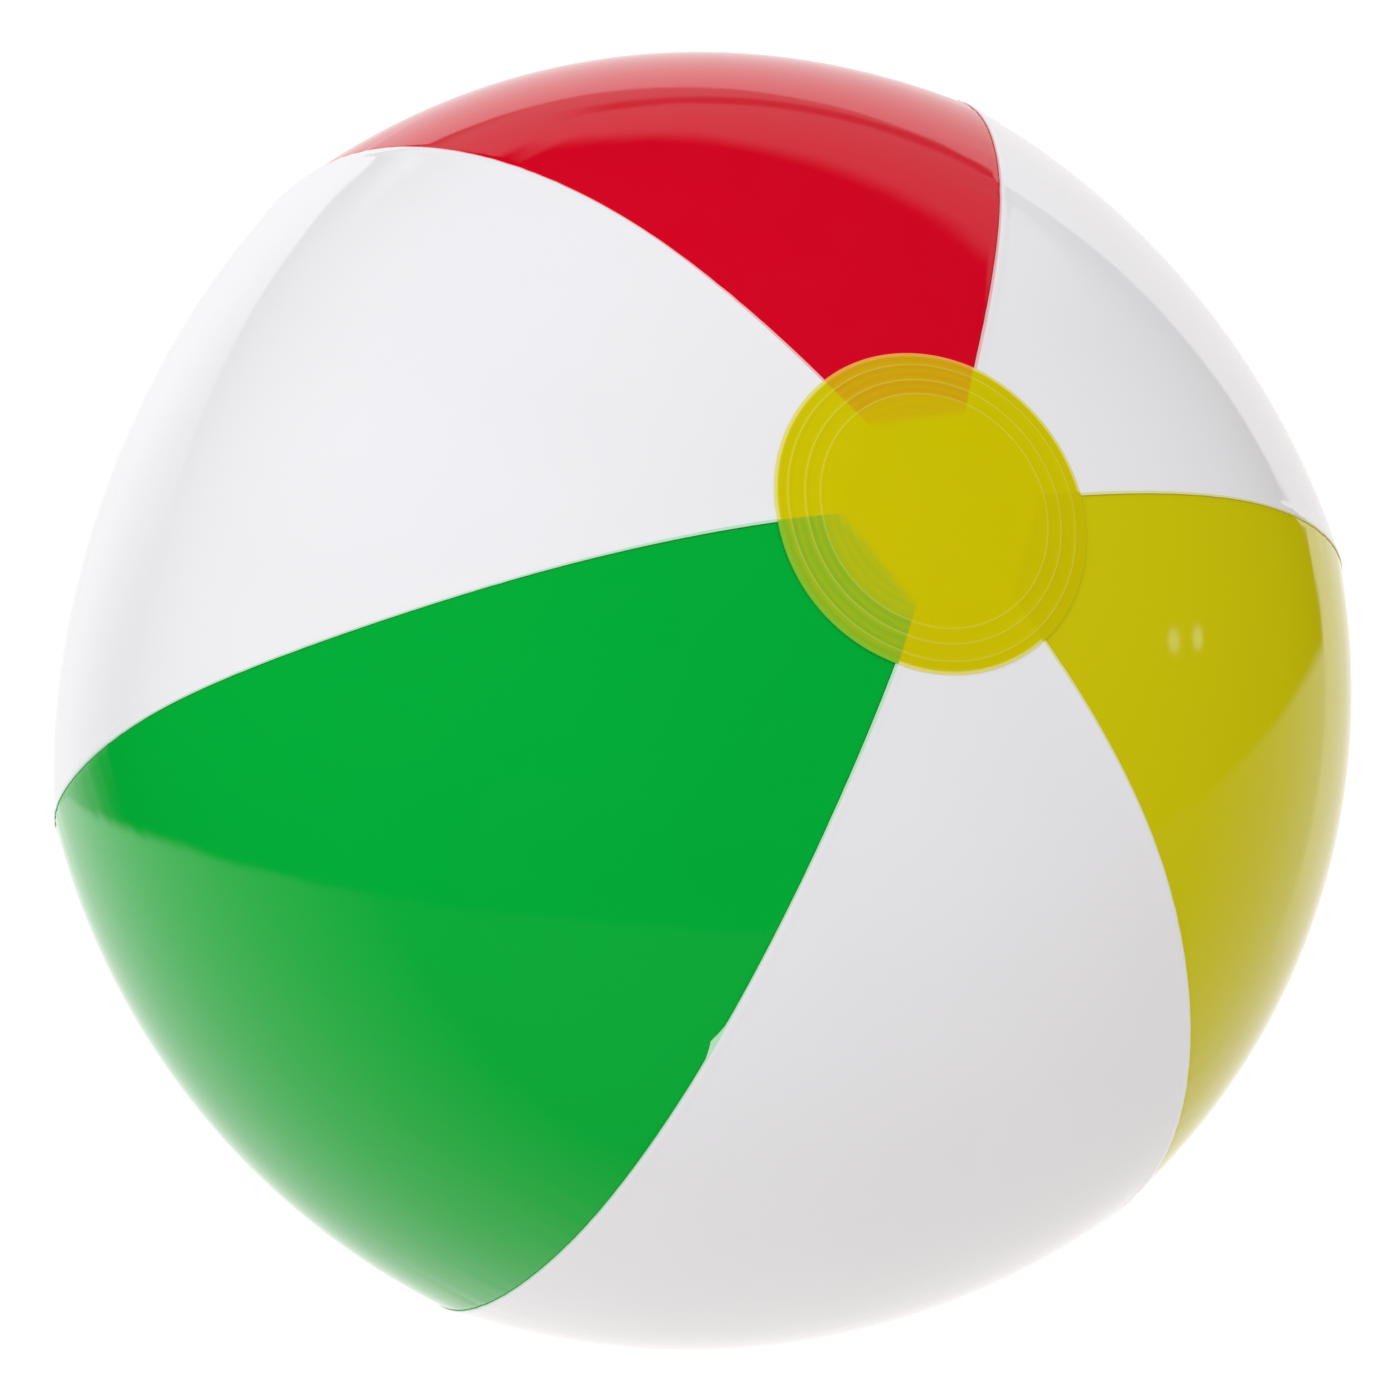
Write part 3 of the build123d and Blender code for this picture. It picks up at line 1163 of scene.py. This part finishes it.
# The room that the glossy film mirrors, in directions of (right, up, back) from the camera.
room = {
    "floorFacing": (-0.1497, 0.9718, 0.2517),
    "floorEdge": -0.2240,
    "floorSoft": 0.012,          # half the width of the soft edge between floor and dark
    "sweep": (-0.35, 0.15, -0.92),       # the floor is brighter this way
    "sweepSpan": (-0.25, 0.92),
    "sweepLevels": (0.08, 1.2),
    "boardRight": 0.86,          # sides of the white board behind, for a depth of 1
    "boardLeft": (-1.5, -0.45),
    "boardFoot": (-0.75, -0.10),
    "boardTop": 1.0,
    "boardSlope": 0.36,
    "boardSoft": 0.03,
    "overFacing": (0.355, -0.377, -0.856),
    "overSpan": (-0.035, 0.06),
    "overLevel": 0.46,
    "overFoot": (0.60, 0.70),
    "overSides": (0.58, 0.76),
    "streak": (0.0, -0.62, -0.785),
    "streakSpan": (0.012, 0.045),
    "streakLevel": 0.35,
    "streakEnd": (-0.16, 0.0),
    "spots": ((0.972, 0.233, 0.022), (0.974, 0.222, -0.051)),
    "spotSpan": (0.99978, 0.99996),
    "spotLevel": 1.8,
    "lightFrom": (-0.75, 0.45, 0.35),
    "lightLevels": (0.61, 1.05),
    "toneSpan": (-0.8, 0.8),
    "warm": (1.0, 0.965, 0.94),
    "cool": (0.975, 0.98, 1.035),
    "seen": 1.0,
}


def fromCamera(direction):
    return tuple(right * direction[0] + up * direction[1] + back * direction[2])


def roomWorld():
    world = bpy.data.worlds.new("room")
    bpy.context.scene.world = world
    world.use_nodes = True
    tree = world.node_tree
    tree.nodes.clear()
    output = tree.nodes.new("ShaderNodeOutputWorld")
    background = tree.nodes.new("ShaderNodeBackground")
    tree.links.new(background.outputs["Background"], output.inputs["Surface"])
    where = tree.nodes.new("ShaderNodeTexCoord").outputs["Generated"]

    def along(direction):
        return vectorMath(tree, "DOT_PRODUCT", where, fromCamera(direction))

    def ramp(value, span, levels, kind="SMOOTHSTEP"):
        return mapRange(tree, value, span, levels, kind)

    def around(middle, half):
        return middle - half, middle + half

    below = ramp(along(room["floorFacing"]), around(room["floorEdge"], room["floorSoft"]), (1, 0))
    sweep = ramp(along(room["sweep"]), room["sweepSpan"], room["sweepLevels"], "LINEAR")
    floor = times(tree, below, sweep)

    x = along((1, 0, 0))
    y = along((0, 1, 0))
    depth = calc(tree, "MAXIMUM", along((0, 0, -1)), 0.001)
    across = calc(tree, "DIVIDE", x, depth)
    high = calc(tree, "DIVIDE", y, depth)
    soft = room["boardSoft"]
    rightSide = ramp(across, around(room["boardRight"], soft), (1, 0))
    leftSide = ramp(across, room["boardLeft"], (0, 1))
    top = calc(tree, "ADD", times(tree, across, room["boardSlope"]), room["boardTop"])
    under = ramp(calc(tree, "SUBTRACT", high, top), around(0, soft), (1, 0))
    foot = ramp(high, room["boardFoot"], (0, 1))
    board = times(tree, rightSide, leftSide, under, foot)

    # The dimmer things overhead, with a dark streak between them.
    over = ramp(along(room["overFacing"]), room["overSpan"], (0, room["overLevel"]))
    overFoot = ramp(y, room["overFoot"], (0, 1))
    overSides = ramp(calc(tree, "ABSOLUTE", x), room["overSides"], (1, 0))
    fromStreak = calc(tree, "ABSOLUTE", along(room["streak"]))
    streak = ramp(fromStreak, room["streakSpan"], (room["streakLevel"], 1))
    streak = calc(tree, "MAXIMUM", streak, ramp(x, room["streakEnd"], (1, 0)))
    over = times(tree, over, overFoot, overSides, streak)

    mirrored = calc(tree, "MAXIMUM", calc(tree, "MAXIMUM", floor, board), over)
    for spot in room["spots"]:
        span = tuple(share * Vector(spot).length for share in room["spotSpan"])
        mirrored = calc(tree, "MAXIMUM", mirrored, ramp(along(spot), span, (0, room["spotLevel"])))

    facing = along(Vector(room["lightFrom"]).normalized())
    lit = ramp(facing, (-1, 1), room["lightLevels"], "LINEAR")
    tone = ramp(facing, room["toneSpan"], (0, 1), "LINEAR")
    tree.links.new(mixColour(tree, tone, room["warm"], room["cool"]), background.inputs["Color"])
    rays = tree.nodes.new("ShaderNodeLightPath").outputs
    strength = mixNumber(tree, rays["Is Glossy Ray"], lit, mirrored)
    strength = mixNumber(tree, rays["Is Camera Ray"], strength, room["seen"])
    tree.links.new(strength, background.inputs["Strength"])


floorLook = {
    "radius": 5,
    "below": 0.0001,
    "colour": (0.02, 0.02, 0.02),
    "rough": 0.9,
    "glow": (1, 0.972, 0.955),
    "seen": 1.08,
    "light": 0.79,               # what it throws back up at the ball
}


# The floor is clear from below, so that the ball's underside can be looked at.
def makeFloor():
    deselectAll()
    place = (0, 0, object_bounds()[0].z - floorLook["below"])
    bpy.ops.mesh.primitive_circle_add(
        vertices=96, radius=floorLook["radius"], fill_type="NGON", location=place
    )
    floor = bpy.context.object
    floor.name = "floor"
    material, tree, shader = newMaterial("floor")
    shader.inputs["Base Color"].default_value = (*floorLook["colour"], 1)
    shader.inputs["Roughness"].default_value = floorLook["rough"]
    shader.inputs["Specular IOR Level"].default_value = 0
    shader.inputs["Emission Color"].default_value = (*floorLook["glow"], 1)
    seen = tree.nodes.new("ShaderNodeLightPath").outputs["Is Camera Ray"]
    glow = mapRange(tree, seen, (0, 1), (floorLook["light"], floorLook["seen"]))
    tree.links.new(glow, shader.inputs["Emission Strength"])
    side = tree.nodes.new("ShaderNodeNewGeometry")
    clear = tree.nodes.new("ShaderNodeBsdfTransparent")
    both = tree.nodes.new("ShaderNodeMixShader")
    tree.links.new(side.outputs["Backfacing"], both.inputs[0])
    tree.links.new(shader.outputs["BSDF"], both.inputs[1])
    tree.links.new(clear.outputs["BSDF"], both.inputs[2])
    output = next(node for node in tree.nodes if node.type == "OUTPUT_MATERIAL")
    tree.links.new(both.outputs["Shader"], output.inputs["Surface"])
    floor.data.materials.append(material)
    floor.visible_glossy = False


softbox = {"size": 1.6, "energy": 5.2, "place": (-1.2, 1.3, 1.6)}


def softLight():
    data = bpy.data.lights.new("softbox", "AREA")
    data.shape = "DISK"
    data.size = softbox["size"]
    data.energy = softbox["energy"]
    lamp = bpy.data.objects.new("softbox", data)
    bpy.context.scene.collection.objects.link(lamp)
    lamp.location = fromCamera(softbox["place"])
    lamp.rotation_mode = "QUATERNION"
    lamp.rotation_quaternion = lamp.location.to_track_quat("Z", "Y")
    lamp.visible_glossy = False
    lamp.visible_camera = False


right, up, back = setCamera()
roomWorld()
makeFloor()
softLight()
bpy.context.scene.view_settings.view_transform = "Standard"
print("room, floor, light and camera set")
